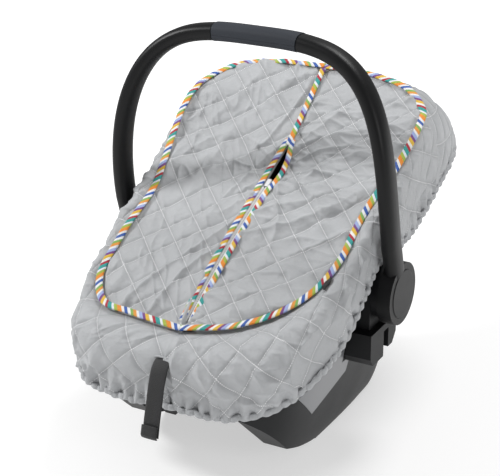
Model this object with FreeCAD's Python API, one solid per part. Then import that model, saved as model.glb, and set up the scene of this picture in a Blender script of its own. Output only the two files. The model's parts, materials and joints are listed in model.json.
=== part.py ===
import FreeCAD, Part
import math
import os

# Infant car seat with a carrying handle and a fitted, zipped, quilted cover.
# Millimetres. +Z is up, the foot end is at -Y, the head end at +Y, and +X is the right-hand side seen
# from the foot end. The origin is on the floor, midway between the two handle pivots.

V = FreeCAD.Vector
FAR = 400.0                # beyond every piece: the size of cutting tools

# ---------------------------------------------------------------- shell
# Level sections: height, foot end y, head end y, half width, and how square the section is.
SHELL_LEVELS = [
    (0, -160, 182, 117, 6.0),
    (60, -212, 190, 138, 5.2),
    (120, -238, 198, 152, 4.6),
    (180, -247, 207, 162, 4.2),
    (240, -249, 228, 165, 4.0),
    (290, -249, 264, 166, 3.8),
    (340, -249, 308, 167, 3.6),
    (390, -249, 338, 167, 3.6),
    (440, -249, 348, 165, 3.6),
]
SHELL_WALL = 4.0
RIM = [(-300, 170), (-200, 190), (-120, 222), (0, 266), (100, 300), (200, 340), (300, 374), (420, 404)]
# Underside in front of the flat base: of the two side rails, and of the hollow between them.
CHIN = [(-262, 137), (-156, 36), (-120, 22), (-76, 8), (-62, 4), (-56, 0)]
HOLLOW = [(-262, 150), (-200, 98), (-150, 56), (-100, 24), (-70, 8), (-56, 0)]
HOLLOW_HALF = 88.0
FIT = 0.4                  # gap between pieces that only lie against each other
SEAT_GAP = 0.15            # gap under the pieces that are screwed to the shell's outside
RUN_FIT = 0.05             # radial gap of a pin that turns in a hole

# ---------------------------------------------------------------- seat inside the shell
CAVITY_LEVELS = [
    (118, -70, 50, 75, 3.0),
    (150, -135, 88, 98, 3.0),
    (190, -180, 128, 112, 3.0),
    (240, -198, 172, 120, 3.0),
    (300, -203, 220, 126, 3.0),
    (360, -203, 264, 128, 3.0),
    (430, -203, 296, 126, 3.0),
]
PAD_THICK = 14.0
FOAM_THICK = 28.0
BOLSTER = 15.0             # thickness of the loose insert and of the head pad
RIM_DROP = 6.0             # foam and pad end this far below the shell's rim
INSERT_Z = (170.0, 262.0)
HEAD_PAD_Z = (272.0, 345.0)

# ---------------------------------------------------------------- handle
PIVOT_Z = 224.0
ARM_X = 210.0
GRIP_Z = 559.0
ARCH_POWER = 3.5
ARCH_BULGE = 30.0          # the arms bow towards the foot end by this much at half height
ARCH_LEAN = 8.0
ARM_HALF = (11.0, 18.5)    # half sizes of the arm: across the arch, and along the seat
GRIP_HALF = (12.0, 16.0)
GRIP_SHARE = 0.918         # share of the quarter arch where the arm ends and the grip begins
GRIP_SLEEVE = 3.0
ARM_START = 0.05
ARM_FOOT = 34.0            # the arm's ridge runs this far below the pivot
HUB_R = 44.0
HUB_X = (ARM_X - 11.0, ARM_X + 9.0)
BUTTON_R = 34.0            # the handle's round release buttons, one in each hub
BUTTON_THICK = 4.0
BUTTON_STANDS = 1.0        # each button stands this far out of its hub
BUTTON_TRAVEL = 3.0
PIN_R = 8.0
PIN_X = (ARM_X - 26.0, ARM_X + 2.0)
GEAR_R = 26.0
GEAR_X = (HUB_X[0], HUB_X[0] + 8.0)
GEAR_TEETH = 12
HOUSING_R = 38.0
HOUSING_X = (150.0, HUB_X[0] - 1.5)

# ---------------------------------------------------------------- adapter brackets
BRACKET_Y = (-52.0, 33.0)
BRACKET_Z = (128.0, 176.0)
BRACKET_OUT = HOUSING_X[1] - 0.5
SLOT_Y = (-9.0, 7.0)
SLOT_TOP = 166.0
SLOT_IN = 180.0
PAWL_SIZE = (10.0, 22.0, 8.0)
PAWL_REACH = 5.0           # the pawl stands this far into the slot, and draws back as far

# ---------------------------------------------------------------- base bars and rear release
BAR_R = 4.0
BAR_HALF = 66.0
BAR_Y = (-20.0, 140.0)
BAR_Z = 9.0
WELL_HALF = 13.0
WELL_TOP = 16.0
RELEASE_Z = (176.0, 214.0)
RELEASE_HALF = 55.0
RELEASE_Y = (205.0, 236.0)
RELEASE_TRAVEL = 10.0

# ---------------------------------------------------------------- cover
COVER_WALL = 4.0
# Right half of the skirt, from the toe's middle to the hood: points (x, y, z) on the panel's edge, on the
# widest line and on the hem.
SKIRT = [
    ((0.3, -216, 211), (0.3, -261, 182), (0.3, -253, 118)),
    ((74, -199, 220), (92, -258, 179), (92, -248, 121)),
    ((118, -178, 234), (150, -242, 177), (146, -233, 131)),
    ((148, -148, 252), (183, -200, 184), (178, -196, 148)),
    ((159, -90, 284), (193, -120, 222), (190, -124, 185)),
    ((159, -20, 321), (192, -54, 280), (191, -60, 246)),
    ((165, 12, 344), (191, -18, 304), (190, -28, 270)),
    ((174, 50, 368), (191, 32, 318), (190, 24, 272)),
    ((181, 92, 398), (191, 85, 342), (190, 84, 274)),
    ((182, 125, 418), (191, 135, 368), (190, 140, 292)),
    ((178, 148, 428), (190, 168, 385), (189, 192, 314)),
]
# Right half of the hood, from its middle to its side: points from the front ridge to the rear hem.
HOOD = [
    ((0, 200, 462), (0, 248, 448), (0, 298, 422), (0, 338, 390), (0, 350, 358)),
    ((60, 199, 461), (62, 247, 446), (64, 296, 419), (64, 335, 388), (64, 347, 358)),
    ((110, 194, 456), (115, 242, 439), (118, 288, 411), (120, 322, 383), (118, 334, 356)),
    ((142, 184, 449), (152, 228, 427), (158, 268, 401), (160, 298, 374), (158, 308, 351)),
    ((165, 167, 438), (177, 204, 411), (181, 236, 385), (183, 262, 360), (180, 272, 343)),
    ((175, 155, 431), (187, 181, 401), (190, 204, 371), (190, 224, 347), (188, 232, 331)),
    ((178, 148, 428), (190, 166, 394), (191, 179, 362), (191, 188, 335), (189, 192, 314)),
]
# Zipped top panel, from the toe to the ridge: (y, z) on its middle line, and (x, y, z) on its edge.
PANEL = [
    ((-214, 212), (26, -213, 213)),
    ((-205, 217), (74, -199, 220)),
    ((-190, 227), (118, -178, 234)),
    ((-160, 246), (148, -148, 252)),
    ((-95, 283), (159, -90, 284)),
    ((-22, 319), (159, -20, 321)),
    ((45, 350), (174, 50, 368)),
    ((97, 384), (181, 92, 398)),
    ((150, 423), (182, 125, 418)),
    ((200, 462), (178, 148, 428)),
]
ZIP_INNER = 0.2
HEM_DEEP = 6.0
BINDING_WIDE = 10.0
BINDING_THICK = 1.8
BINDING_LIFT = 0.3
ZIP_OPEN_Y = (5.0, 82.0)  # this stretch of the zip stands open
ZIP_OPEN_HALF = 7.0
# Along the zip, from the toe to where its two bindings meet: (y, inner edge of each binding).
ZIP_BINDING = [(-204, 4.0), (-150, 4.0), (-100, 4.0), (-50, 4.0), (0, 4.2), (24, 6.4), (48, 7.4), (70, 5.6), (90, 0.6)]
SLIDER = (7.0, 14.0, 5.0)
TOE_STRAP = [(-232, 181), (-250, 182.6), (-258, 185.5), (-265, 187), (-273, 182), (-282, 167), (-291, 142),
             (-298, 116), (-302, 96)]
TOE_STRAP_SIZE = (24.0, 2.4)
LABEL = [(-171, 125), (-118, 76), (-30, 104), (-29, 127), (-53, 127.5), (-54, 150)]
LABEL_THICK = 0.5

# ---------------------------------------------------------------- canopy and harness
BOW_PIVOT = (20.0, 290.0)
BOW_BACK = 48.0            # degrees the raised bow leans back from upright
BOW_REACH = 233.0
BOW_HALF = 158.0
BOW_BAR = (7.0, 8.0)
BOW_CORNER = 45.0
STUD_R = 3.0
WEB = (25.0, 1.6)
STRAP_X = 32.0
BUCKLE_LOW = (-23.0, -30.0, 119.0)
BUCKLE_HIGH = (23.0, 30.0, 137.0)
CLIP_SHARE = 0.55


# ---------------------------------------------------------------- building blocks
def level_ring(level, grow, points=32):
    """A closed level curve: a rounded rectangle drawn by one formula."""
    z, front, back, half, power = level
    middle = (front + back) / 2
    reach = (back - front) / 2 + grow
    around = []
    for i in range(points):
        turn = 2 * math.pi * (i + 0.5) / points
        c, s = math.cos(turn), math.sin(turn)
        x = (half + grow) * math.copysign(abs(c) ** (2 / power), c)
        y = middle + reach * math.copysign(abs(s) ** (2 / power), s)
        around.append(V(x, y, z))
    curve = Part.BSplineCurve()
    curve.interpolate(Points=around, PeriodicFlag=True)
    return Part.Wire([curve.toShape()])


def tub(levels, grow=0.0):
    """A solid through the levels, with its walls and its floor moved out by grow."""
    low = (levels[0][0] - grow,) + levels[0][1:]
    rings = [level_ring(level, grow) for level in [low] + levels[1:]]
    return Part.makeLoft(rings, True, False)


def spline(points):
    curve = Part.BSplineCurve()
    curve.interpolate(points)
    return curve


def prism(outline, half, middle=0.0):
    """A solid from an outline of (y, z) points, spanning half each side of middle along X."""
    corners = [V(middle - half, y, z) for y, z in outline]
    face = Part.Face(Part.makePolygon(corners + corners[:1]))
    return face.extrude(V(2 * half, 0, 0))


def under_curve(line, lift=0.0):
    """All that lies under a smooth line of (y, z) points."""
    points = [V(-FAR, y, z + lift) for y, z in line]
    first, last = points[0], points[-1]
    low_first, low_last = V(-FAR, first.y, -80), V(-FAR, last.y, -80)
    edges = [spline(points).toShape(), Part.makeLine(last, low_last), Part.makeLine(low_last, low_first),
             Part.makeLine(low_first, first)]
    return Part.Face(Part.Wire(edges)).extrude(V(2 * FAR, 0, 0))


def block(low, high):
    return Part.makeBox(high[0] - low[0], high[1] - low[1], high[2] - low[2], V(*low))


def rod_x(y, z, radius, x0, x1):
    """A round rod along X."""
    return Part.makeCylinder(radius, x1 - x0, V(x0, y, z), V(1, 0, 0))


def mirrored(shape):
    return shape.mirror(V(0, 0, 0), V(1, 0, 0))


def turned(shape, centre, degrees):
    """Turns a copy about a line along X through centre, given as (y, z)."""
    copy = shape.copy()
    copy.rotate(V(0, centre[0], centre[1]), V(1, 0, 0), degrees)
    return copy


def band(path, x_middle, wide, thick):
    """Flat webbing whose middle line is a list of (y, z) points."""
    above, below = [], []
    for i, (y, z) in enumerate(path):
        before = path[max(i - 1, 0)]
        after = path[min(i + 1, len(path) - 1)]
        dy, dz = after[0] - before[0], after[1] - before[1]
        length = math.hypot(dy, dz)
        ny, nz = -dz / length, dy / length
        above.append((y + ny * thick / 2, z + nz * thick / 2))
        below.append((y - ny * thick / 2, z - nz * thick / 2))
    return prism(above + below[::-1], wide / 2, x_middle)


def largest(shape):
    return max(shape.Solids, key=lambda solid: solid.Volume)


# ---------------------------------------------------------------- shell, foam and pads
def shell_body(grow, rim_lift=0.0):
    """The bucket's outline as one full solid up to its rim, with the chin cut away."""
    body = tub(SHELL_LEVELS, grow).common(under_curve(RIM, rim_lift))
    for line, half in ((CHIN, FAR), (HOLLOW, HOLLOW_HALF - grow)):
        under = [(y, z - grow) for y, z in line]
        outline = [(-FAR, -90), (-FAR, under[0][1])] + under + [(under[-1][0], -90)]
        body = body.cut(prism(outline, half))
    return body


def bar_wells(spare):
    """Blocks round the two base bars: the open wells, or with spare the walls about them."""
    wells = []
    for y in BAR_Y:
        low = (-BAR_HALF - spare, y - WELL_HALF - spare, -1.0 if spare == 0 else 0.0)
        wells.append(block(low, (BAR_HALF + spare, y + WELL_HALF + spare, WELL_TOP + spare)))
    return wells


def base_bars():
    reach = BAR_HALF + SHELL_WALL
    return Part.makeCompound([rod_x(y, BAR_Z, BAR_R, -reach, reach) for y in BAR_Y])


def shell():
    bucket = shell_body(0.0).cut(shell_body(-SHELL_WALL, 50.0))
    bucket = bucket.fuse(bar_wells(SHELL_WALL))
    return bucket.cut(bar_wells(0.0) + [base_bars()])


def foam_liner():
    """A moulded tub of foam under the pad, hung from the shell's sides and hollow below."""
    foam = shell_body(-SHELL_WALL - FIT, -RIM_DROP).common(tub(CAVITY_LEVELS, PAD_THICK + FOAM_THICK))
    return foam.cut(tub(CAVITY_LEVELS, PAD_THICK))


def seat_pad():
    pad = tub(CAVITY_LEVELS, PAD_THICK - FIT).common(under_curve(RIM, -RIM_DROP))
    return pad.cut(tub(CAVITY_LEVELS))


def bolster(heights, from_y):
    """A loose cushion that lines the head end of the cavity between two heights."""
    lining = tub(CAVITY_LEVELS, -FIT).cut(tub(CAVITY_LEVELS, -BOLSTER))
    return largest(lining.common(block((-FAR, from_y, heights[0]), (FAR, FAR, heights[1]))))


# ---------------------------------------------------------------- handle
def arch_point(share):
    """A point on the handle's middle line: 0 at a pivot, 1 at the middle of the grip."""
    turn = share * math.pi / 2
    x = ARM_X * max(math.cos(turn), 0.0) ** (2 / ARCH_POWER)
    if share >= 1:
        x = 0.0
    rise = math.sin(turn) ** (2 / ARCH_POWER)
    y = -ARCH_LEAN * rise - ARCH_BULGE * 4 * rise * (1 - rise)
    return V(x, y, PIVOT_Z + (GRIP_Z - PIVOT_Z) * rise)


def oval(centre, out, deep, half, points=16):
    """A rounded oval wire round centre, with half sizes along the out and deep directions."""
    around = []
    for i in range(points):
        turn = 2 * math.pi * i / points
        c, s = math.cos(turn), math.sin(turn)
        u = half[0] * math.copysign(abs(c) ** 0.77, c)
        w = half[1] * math.copysign(abs(s) ** 0.77, s)
        around.append(centre + out * u + deep * w)
    curve = Part.BSplineCurve()
    curve.interpolate(Points=around, PeriodicFlag=True)
    return Part.Wire([curve.toShape()])


def arch_section(share, grow=0.0):
    """The handle's section square to its middle line."""
    tangent = arch_point(min(share + 0.002, 1.0)) - arch_point(share - 0.002)
    if share >= 1:
        tangent = V(-1, 0, 0)
    tangent.normalize()
    deep = V(0, 1, 0) - tangent * tangent.y
    deep.normalize()
    ease = min(max((share - 0.25) / (GRIP_SHARE - 0.25), 0.0), 1.0)
    half = [a + (g - a) * ease + grow for a, g in zip(ARM_HALF, GRIP_HALF)]
    return oval(arch_point(share), deep.cross(tangent), deep, half)


def arch_piece(start, end, grow=0.0, stations=9):
    """A stretch of the handle between two shares of the quarter arch, on the +X side."""
    shares = [start + (end - start) * i / (stations - 1) for i in range(stations)]
    return Part.makeLoft([arch_section(share, grow) for share in shares], True, False)


def arm_foot():
    """The arm's straight lower end, from the arch's first section to its rounded tip."""
    wires = [arch_section(ARM_START)]
    for drop, shrink in ((0.0, 1.0), (ARM_FOOT - 10, 0.96), (ARM_FOOT, 0.75)):
        half = [size * shrink for size in ARM_HALF]
        wires.append(oval(V(ARM_X, 0, PIVOT_Z - drop), V(1, 0, 0), V(0, 1, 0), half))
    return Part.makeLoft(wires, True, True)


def handle_arm():
    arm = arch_piece(ARM_START, GRIP_SHARE).fuse(arm_foot())
    arm = arm.fuse(rod_x(0, PIVOT_Z, HUB_R, *HUB_X))
    inner_side = block((HUB_X[0] - 60, -80, PIVOT_Z - 80), (HUB_X[0], 80, PIVOT_Z + HUB_R + 4))
    pin_hole = rod_x(0, PIVOT_Z, PIN_R + RUN_FIT, HUB_X[0] - 20, FAR)
    gear_room = rod_x(0, PIVOT_Z, GEAR_R + FIT, GEAR_X[0] - 1, GEAR_X[1] + FIT)
    floor = HUB_X[1] + BUTTON_STANDS - BUTTON_THICK - BUTTON_TRAVEL - FIT
    button_room = rod_x(0, PIVOT_Z, BUTTON_R + FIT, floor, FAR)
    return arm.cut([inner_side, pin_hole, gear_room, button_room])


def hub_button():
    outer = HUB_X[1] + BUTTON_STANDS
    button = rod_x(0, PIVOT_Z, BUTTON_R, outer - BUTTON_THICK, outer)
    rim = [edge for edge in button.Edges if edge.BoundBox.XMin > outer - 1 and edge.BoundBox.YLength > 1]
    return button.makeFillet(1.5, rim)


def lock_gear():
    """Toothed ring on the pin that holds the arm at its stops."""
    gear = rod_x(0, PIVOT_Z, GEAR_R, *GEAR_X)
    cuts = [rod_x(0, PIVOT_Z, PIN_R, GEAR_X[0] - 1, GEAR_X[1] + 1)]
    for i in range(GEAR_TEETH):
        turn = 2 * math.pi * i / GEAR_TEETH
        y, z = GEAR_R * math.cos(turn), PIVOT_Z + GEAR_R * math.sin(turn)
        cuts.append(rod_x(y, z, 3.0, GEAR_X[0] - 1, GEAR_X[1] + 1))
    return gear.cut(cuts)


def hub_housing():
    """The boss on the shell's side that carries the pivot pin, with the canopy's stud above it."""
    y, z = BOW_PIVOT
    post = block((HOUSING_X[1] - 24, y - 10, PIVOT_Z), (HOUSING_X[1] - 17, y + 10, z + 9))
    stud = rod_x(y, z, STUD_R, BOW_HALF - BOW_BAR[0], HOUSING_X[1] - 20)
    boss = rod_x(0, PIVOT_Z, HOUSING_R, *HOUSING_X)
    lower = block((HOUSING_X[0], -HOUSING_R, BRACKET_Z[1] + FIT), (HOUSING_X[1] - 10, HOUSING_R, PIVOT_Z))
    below = block((100, -80, 100), (FAR, 80, BRACKET_Z[1] + FIT))
    housing = boss.fuse([lower, post]).cut([tub(SHELL_LEVELS, SEAT_GAP), below])
    return housing.fuse(stud).cut(rod_x(0, PIVOT_Z, PIN_R, PIN_X[0], FAR))


def grip_core():
    right = arch_piece(GRIP_SHARE, 1.0, -GRIP_SLEEVE, 5)
    return right.fuse(mirrored(right))


def grip_sleeve(upper):
    """One half of the soft sleeve round the grip, parted along its middle."""
    outer = arch_piece(GRIP_SHARE + 0.003, 1.0, 0.6, 5)
    right = outer.cut(arch_piece(GRIP_SHARE, 1.0, SEAT_GAP - GRIP_SLEEVE, 5))
    sleeve = right.fuse(mirrored(right))
    low = GRIP_Z - 3.0
    if upper:
        return sleeve.common(block((-FAR, -FAR, low + 0.15), (FAR, FAR, 2 * FAR)))
    return sleeve.common(block((-FAR, -FAR, 0), (FAR, FAR, low - 0.15)))


# ---------------------------------------------------------------- adapter brackets
def pawl_block(spare=0.0, travel=0.0):
    """Latch pawl that stands into the slot; with spare and travel, the pocket it slides in."""
    x, y, z = SLOT_IN + 2.0, SLOT_Y[0] + PAWL_REACH, SLOT_TOP - 4.0
    wide, long, tall = PAWL_SIZE
    low = (x - spare, y - long - spare - travel, z - tall - spare)
    return block(low, (x + wide + spare, y + spare, z + spare))


def bracket():
    body = block((150, BRACKET_Y[0], BRACKET_Z[0]), (BRACKET_OUT, BRACKET_Y[1], BRACKET_Z[1]))
    low = BRACKET_Z[0]
    rear = [(SLOT_Y[1], 0), (FAR, 0), (FAR, low + 30), (BRACKET_Y[1], low + 22), (BRACKET_Y[1] - 12, low + 8),
            (SLOT_Y[1], low + 8)]
    nose = [(-FAR, 0), (BRACKET_Y[0] + 9, 0), (BRACKET_Y[0] + 9, low), (BRACKET_Y[0], low + 12), (-FAR, low + 12)]
    slot = block((SLOT_IN, SLOT_Y[0], 0), (FAR, SLOT_Y[1], SLOT_TOP))
    return body.cut([prism(rear, FAR), prism(nose, FAR), slot, tub(SHELL_LEVELS, SEAT_GAP),
                     pawl_block(FIT, PAWL_REACH)])


# ---------------------------------------------------------------- rear release
def release_housing():
    """Frame on the shell's back round the release bar."""
    low = (-RELEASE_HALF - 10, RELEASE_Y[0] - 10, RELEASE_Z[0] - 8)
    high = (RELEASE_HALF + 10, RELEASE_Y[1], RELEASE_Z[1] + 8)
    window_low = (-RELEASE_HALF, 0, RELEASE_Z[0])
    window = block(window_low, (RELEASE_HALF, FAR, RELEASE_Z[1]))
    return block(low, high).cut([tub(SHELL_LEVELS, SEAT_GAP), window])


def release_bar():
    low, high = RELEASE_Z[0] + 0.3, RELEASE_Z[1] - RELEASE_TRAVEL - 0.3
    y0, y1 = RELEASE_Y[1] - 12, RELEASE_Y[1] - 1
    outline = [(y0, low), (y1 - 4, low), (y1, low + 5), (y1, high - 5), (y1 - 4, high), (y0, high)]
    return prism(outline, RELEASE_HALF - 0.3)


# ---------------------------------------------------------------- cover
def surface_of(grid):
    surface = Part.BSplineSurface()
    surface.interpolate(grid)
    return surface


def normal_at(grid, i, j):
    """Direction square to a grid of points, at one of them."""
    before, after = grid[max(i - 1, 0)][j], grid[min(i + 1, len(grid) - 1)][j]
    left, right = grid[i][max(j - 1, 0)], grid[i][min(j + 1, len(grid[i]) - 1)]
    normal = (after - before).cross(right - left)
    normal.normalize()
    return normal


def moved(grid, distance):
    """The grid moved square to itself."""
    rows = []
    for i, row in enumerate(grid):
        rows.append([point + normal_at(grid, i, j) * distance for j, point in enumerate(row)])
    return rows


def evened(grid, count):
    """The same lines of points along a grid, spaced evenly."""
    lines = [spline([row[j] for row in grid]).toShape().discretize(count) for j in range(len(grid[0]))]
    return [list(row) for row in zip(*lines)]


def cloth(grid, thick, raise_by=0.0):
    """A closed sheet of cloth whose outer face goes through a grid of points, moved out by raise_by."""
    grid = evened(grid, 2 * len(grid) + 1)
    outer = surface_of(moved(grid, raise_by))
    inner = surface_of(moved(grid, raise_by - thick))
    faces = [outer.toShape(), inner.toShape()]
    u0, u1, v0, v1 = outer.bounds()
    a0, a1, b0, b1 = inner.bounds()
    borders = [(outer.uIso(u0), inner.uIso(a0)), (outer.uIso(u1), inner.uIso(a1)),
               (outer.vIso(v0), inner.vIso(b0)), (outer.vIso(v1), inner.vIso(b1))]
    for one, other in borders:
        faces.append(Part.makeRuledSurface(one.toShape(), other.toShape()))
    shell_faces = Part.Shell(faces)
    shell_faces.sewShape()
    solid = Part.Solid(shell_faces)
    if solid.Volume < 0:
        solid.reverse()
    return solid


def between(a, b, share):
    return a + (b - a) * share


def skirt_grid(side):
    """Skirt from the panel's edge down to the hem, by stations from the toe's middle to the hood."""
    rows = []
    for edge, bulge, hem in SKIRT:
        e, b, h = V(*edge), V(*bulge), V(*hem)
        shoulder = V(between(e.x, b.x, 0.62), between(e.y, b.y, 0.62), between(e.z, b.z, 0.24))
        row = [e, shoulder, b, between(b, h, 0.5), h]
        rows.append([V(side * p.x, p.y, p.z) for p in (row if side < 0 else row[::-1])])
    return rows


def panel_grid(side):
    """One half of the zipped top, from the zip to the panel's edge, by stations from the toe to the ridge."""
    rows = []
    for middle, edge in PANEL:
        row = []
        for share in (0.0, 0.25, 0.5, 0.75, 1.0):
            bend = share ** 3
            x = between(ZIP_INNER, edge[0] - FIT, share)
            row.append(V(side * x, between(middle[0], edge[1], bend), between(middle[1], edge[2], bend)))
        rows.append(row if side < 0 else row[::-1])
    return rows


def hood_grid():
    """Hood from its front ridge back and down to the rear hem, from one side to the other."""
    columns = [[V(x, y + 0.5, z) for x, y, z in column] for column in HOOD]
    left = [[V(-p.x, p.y, p.z) for p in column] for column in columns[:0:-1]]
    return left + columns


def loop_grid(wide, side):
    """A strip over the seam round the top panel: rows of (inside, on the seam, outside)."""
    seam = []
    for index, (edge, bulge, hem) in enumerate(SKIRT):
        inside = V(0, -150, 252) if index == 0 else V(edge[0] - 30, edge[1] + 4, edge[2] - 1)
        seam.append((V(*edge), inside, V(*bulge)))
    for column in reversed(HOOD[:-1]):
        ridge, back = V(*column[0]), V(*column[1])
        seam.append((ridge, ridge + V(-0.08 * ridge.x, -30, -24), back))
    rows = []
    for point, inside, outside in seam:
        inward, outward = inside - point, outside - point
        inward.normalize()
        outward.normalize()
        row = [point + inward * wide / 2, point, point + outward * wide / 2]
        rows.append([V(side * p.x, p.y, p.z) for p in (row if side < 0 else row[::-1])])
    return rows


def middle_height(y):
    """Height of the top panel's cloth on its middle line."""
    line = spline([V(0, y0, z0) for (y0, z0), edge in PANEL]).toShape().discretize(300)
    for one, other in zip(line, line[1:]):
        if one.y <= y <= other.y:
            return between(one.z, other.z, (y - one.y) / (other.y - one.y))
    raise ValueError(y)


def strip_grid(stations, wide, side):
    """A strip along the zip: rows from (y, inner edge x) stations."""
    rows = []
    for y, x in stations:
        z = middle_height(y)
        row = [V(side * (x + share * wide), y, z) for share in (0.0, 0.5, 1.0)]
        rows.append(row if side < 0 else row[::-1])
    return rows


def casing_grid(side):
    """The band just below the hem, from the toe's middle round to the head end's middle."""
    line = [(V(*hem), V(*bulge)) for edge, bulge, hem in SKIRT]
    line += [(V(*column[-1]), V(*column[-2])) for column in reversed(HOOD[:-1])]
    line[0] = (V(FIT, line[0][0].y, line[0][0].z), line[0][1])
    line[-1] = (V(FIT, line[-1][0].y, line[-1][0].z), V(FIT, line[-1][1].y, line[-1][1].z))
    rows = []
    for hem, above in line:
        down = hem - above
        down.normalize()
        row = [hem + down * FIT, hem + down * HEM_DEEP / 2, hem + down * HEM_DEEP]
        rows.append([V(side * p.x, p.y, p.z) for p in (row if side < 0 else row[::-1])])
    return rows


def opening():
    """The almond-shaped hole where the zip stands open."""
    middle, reach = sum(ZIP_OPEN_Y) / 2, (ZIP_OPEN_Y[1] - ZIP_OPEN_Y[0]) / 2
    points = []
    for i in range(12):
        turn = 2 * math.pi * i / 12
        points.append(V(ZIP_OPEN_HALF * math.cos(turn), middle + reach * math.sin(turn), 0))
    curve = Part.BSplineCurve()
    curve.interpolate(Points=points, PeriodicFlag=True)
    return Part.Face(Part.Wire([curve.toShape()])).extrude(V(0, 0, 600))


def side_tag():
    """Small bare tag caught under the binding."""
    edge, bulge, hem = SKIRT[4]
    out = V(*bulge) - V(*edge)
    out.normalize()
    rows = []
    for along in (-22, -12, -2):
        start = V(edge[0], edge[1] + along, edge[2] + 0.5 * along)
        rows.append([start + out * reach for reach in (BINDING_WIDE / 2 + FIT, 13, 21)])
    return cloth(rows, 0.8, BINDING_LIFT + 0.8)


def cover_nodes():
    lift = BINDING_LIFT + BINDING_THICK
    slit = block((-12.4, -FAR, 183.6), (12.4, -240, 190.6))
    nodes = {"cover_hood": cloth(hood_grid(), COVER_WALL), "side_tag": side_tag()}
    seam = [(y, -BINDING_WIDE / 2) for y in (94, 120, 150, 175, 192)]
    nodes["flap_seam_binding"] = cloth(strip_grid(seam, BINDING_WIDE, 1), BINDING_THICK, lift)
    tape = [(y, ZIP_INNER) for y in (-202, -150, -100, -50, 0, 10)]
    for side, word in ((-1, "left"), (1, "right")):
        nodes["cover_skirt_" + word] = cloth(skirt_grid(side), COVER_WALL).cut(slit)
        nodes["flap_" + word] = cloth(panel_grid(side), COVER_WALL).cut(opening())
        nodes["panel_binding_" + word] = cloth(loop_grid(BINDING_WIDE, side), BINDING_THICK, lift)
        nodes["zip_binding_" + word] = cloth(strip_grid(ZIP_BINDING, BINDING_WIDE - 1, side), BINDING_THICK, lift)
        nodes["zip_tape_" + word] = cloth(strip_grid(tape, 3.0, side), 1.2, BINDING_LIFT + 1.2)
        nodes["hem_casing_" + word] = cloth(casing_grid(side), COVER_WALL + 2, 1.0)
    nodes["hem_tie"] = block((-8, -252, 105), (8, -243, 111.2))
    return nodes


def zip_slider():
    """Slider at the top of the closed stretch, lying along the zip."""
    wide, long, tall = SLIDER
    y, z = ZIP_OPEN_Y[0] + 17, 338.0
    body = block((-wide / 2, y - long / 2, z - tall / 2), (wide / 2, y + long / 2, z + tall / 2))
    body = body.makeFillet(1.4, [edge for edge in body.Edges if edge.BoundBox.XLength < 0.1])
    return turned(body, (y, z), 28)


def toe_strap():
    wide, thick = TOE_STRAP_SIZE
    strap = band(TOE_STRAP, 0.0, wide, thick)
    fold = band(TOE_STRAP[-2:], 0.0, wide, 2 * thick)
    keep = block((-FAR, -FAR, 0), (FAR, FAR, TOE_STRAP[-1][1] + 16))
    return strap.fuse(fold.common(keep))


def label():
    film = tub(SHELL_LEVELS, LABEL_THICK + 0.1).cut(tub(SHELL_LEVELS, 0.1))
    return largest(film.common(prism(LABEL, FAR / 2, FAR / 2 + 20)))


def side_cloth():
    """The seat's own cloth that shows under the cover's hem, behind each hub."""
    cloth = tub(SHELL_LEVELS, 7.0).cut(tub(SHELL_LEVELS, 0.2))
    return largest(cloth.common(block((100, HOUSING_R + 1, 198), (FAR, 114, 262))))


# ---------------------------------------------------------------- canopy
def round_corner_plate(half, top, corner, thick):
    """An upright plate from the bow's pivots to its top, with two rounded upper corners."""
    plate = block((-half, -thick / 2, 0), (half, thick / 2, top))
    corners = [edge for edge in plate.Edges if edge.BoundBox.YLength > thick - 0.1 and edge.BoundBox.ZMin > top - 1]
    return plate.makeFillet(corner, corners)


def canopy_bow():
    wide, thick = BOW_BAR
    outer = round_corner_plate(BOW_HALF, BOW_REACH, BOW_CORNER, thick)
    inner = round_corner_plate(BOW_HALF - wide, BOW_REACH - wide, BOW_CORNER - wide, thick + 2)
    inner = inner.fuse(block((-BOW_HALF + wide, -thick, -20), (BOW_HALF - wide, thick, 10)))
    bow = outer.cut(inner)
    for side in (-1, 1):
        x0 = side * BOW_HALF if side < 0 else BOW_HALF - wide
        bow = bow.fuse(rod_x(0, 0, 8.0, x0, x0 + wide))
    bow = bow.cut(rod_x(0, 0, STUD_R + RUN_FIT, -FAR, FAR))
    bow.translate(V(0, BOW_PIVOT[0], BOW_PIVOT[1]))
    return turned(bow, BOW_PIVOT, -BOW_BACK)


def canopy_cloth():
    """The canopy's cloth from its bow back towards the shell's rim, under the cover's hood."""
    rows = []
    for a, b, c, d, e in hood_grid()[2:-2]:
        rows.append([between(a, b, 0.12), b, c, between(c, d, 0.6)])
    return cloth(rows, 1.5, -COVER_WALL - 2.2)


# ---------------------------------------------------------------- harness
def back_line(lift):
    """The cavity's back in (y, z), moved off the pad by lift, from the top down to the seat."""
    line = [(level[2], level[0]) for level in CAVITY_LEVELS[:-1]]
    return [(y - lift * 0.77, z + lift * 0.64) for y, z in reversed(line)]


def shoulder_strap(side):
    path = back_line(BOLSTER + 4)[1:5] + [(34, BUCKLE_LOW[2] + 12)]
    return band(path, side * STRAP_X, WEB[0], WEB[1])


def buckle():
    body = block(BUCKLE_LOW, BUCKLE_HIGH)
    body = body.makeFillet(5.0, [edge for edge in body.Edges if edge.BoundBox.ZLength > 10])
    return body.cut(button_block(0.3, 20.0))


def button_block(spare=0.0, depth=10.0):
    """The red release button in the buckle's top; with spare, the pocket it slides in."""
    top = BUCKLE_HIGH[2] + (1.5 if spare == 0 else 5.0)
    low = top - depth if spare == 0 else BUCKLE_LOW[2] + 4
    return block((-13 - spare, -14 - spare, low), (13 + spare, 8 + spare, top))


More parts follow.
